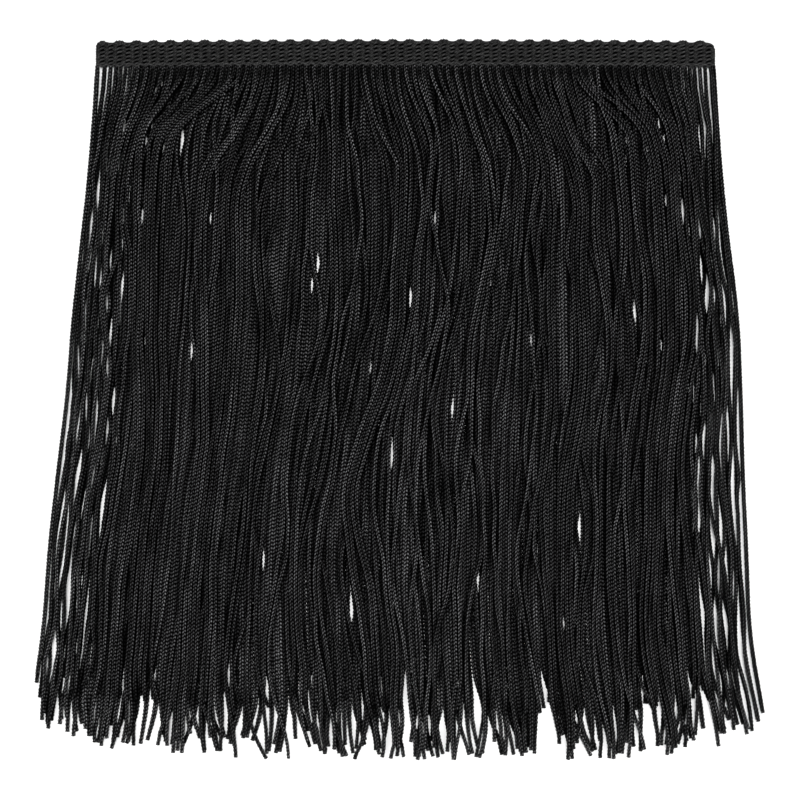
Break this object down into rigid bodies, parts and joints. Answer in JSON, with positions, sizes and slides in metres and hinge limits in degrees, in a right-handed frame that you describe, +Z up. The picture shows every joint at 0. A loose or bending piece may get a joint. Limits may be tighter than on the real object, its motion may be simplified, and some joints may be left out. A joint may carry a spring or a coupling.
{
  "type": "chainette fringe trim",
  "caption": "Flat length of chainette fringe: a narrow knitted heading band with layered looped-chain strands that fan out a little to a square-cut hem",
  "frame": {"origin": "on the surface, under the middle of the whole trim as it lies", "axes": "+X across the trim along the heading, +Y from the hem towards the heading, +Z up from the surface that the trim lies on"},
  "size_m": [0.3154, 0.309, 0.0048],
  "materials": {
    "heading": "matte knitted yarn",
    "chainette": "satin chain-knitted yarn"
  },
  "bodies": {
    "root": {"heading": "heading", "fringe_lower": "chainette", "fringe_upper": "chainette"}
  },
  "joints": []
}
